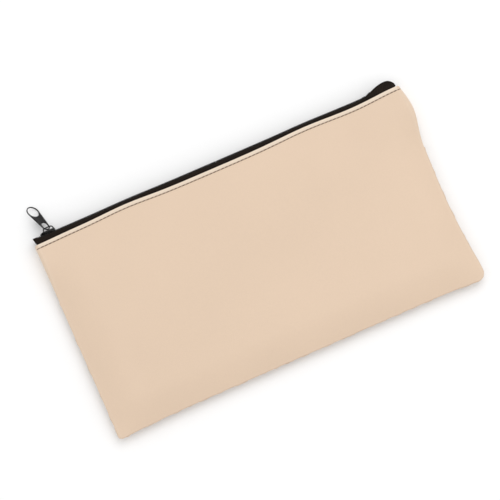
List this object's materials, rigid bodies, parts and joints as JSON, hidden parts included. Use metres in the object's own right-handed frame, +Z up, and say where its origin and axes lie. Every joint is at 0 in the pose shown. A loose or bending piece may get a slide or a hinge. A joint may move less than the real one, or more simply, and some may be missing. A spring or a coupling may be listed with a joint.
{
  "type": "cash deposit bag",
  "caption": "Flat leatherette deposit pouch with a zipper along one long edge, a sliding closure and a swinging metal pull tab.",
  "frame": {"origin": "centre of the leatherette's footprint, on the resting face of the back panel", "axes": "+X along the zipper from its closed end to its open end, +Y out through the mouth, +Z up from the resting face"},
  "size_m": [0.2794, 0.1785, 0.0137],
  "materials": {
    "leatherette": "beige leatherette, fine grain, satin",
    "zipper_tape": "black woven tape",
    "zipper_teeth": "black nylon coil, satin",
    "zipper_thread": "black polyester thread",
    "zipper_metal": "black-brown painted metal, satin",
    "topstitch_thread": "dark brown thread",
    "seam_thread": "beige thread"
  },
  "bodies": {
    "bag_back": {"back_panel": "leatherette", "back_zip_tape": "zipper_tape", "back_coil": "zipper_teeth", "back_filler_cord": "zipper_thread", "back_coil_thread": "zipper_thread", "back_top_stop": "zipper_metal", "bottom_stop": "zipper_metal", "back_topstitch": "topstitch_thread", "left_seam_thread": "seam_thread", "right_seam_thread": "seam_thread", "bottom_seam_thread": "seam_thread"},
    "bag_front": {"front_panel": "leatherette", "front_zip_tape": "zipper_tape", "front_coil": "zipper_teeth", "front_filler_cord": "zipper_thread", "front_coil_thread": "zipper_thread", "front_top_stop": "zipper_metal", "front_topstitch": "topstitch_thread"},
    "slider": {"slider_body": "zipper_metal", "slider_bridge": "zipper_metal"},
    "tab": {"pull_tab": "zipper_metal"}
  },
  "joints": [
    {"name": "slider_travel", "type": "slide", "parent": "bag_back", "child": "slider", "axis": [1, 0, 0], "range_m": [0, 0.24]},
    {"name": "mouth_open", "type": "hinge", "parent": "bag_back", "child": "bag_front", "pos_m": [0, -0.0756, 0.0069], "axis": [1, 0, 0], "range_deg": [0, 20]},
    {"name": "tab_swing", "type": "hinge", "parent": "slider", "child": "tab", "pos_m": [-0.1282, 0.08215, 0.0069], "axis": [0, 0, 1], "range_deg": [-60, 25]}
  ],
  "couplings": [
    {"joint": "mouth_open", "follows": "slider_travel", "rad_per_m": 1.45}
  ]
}
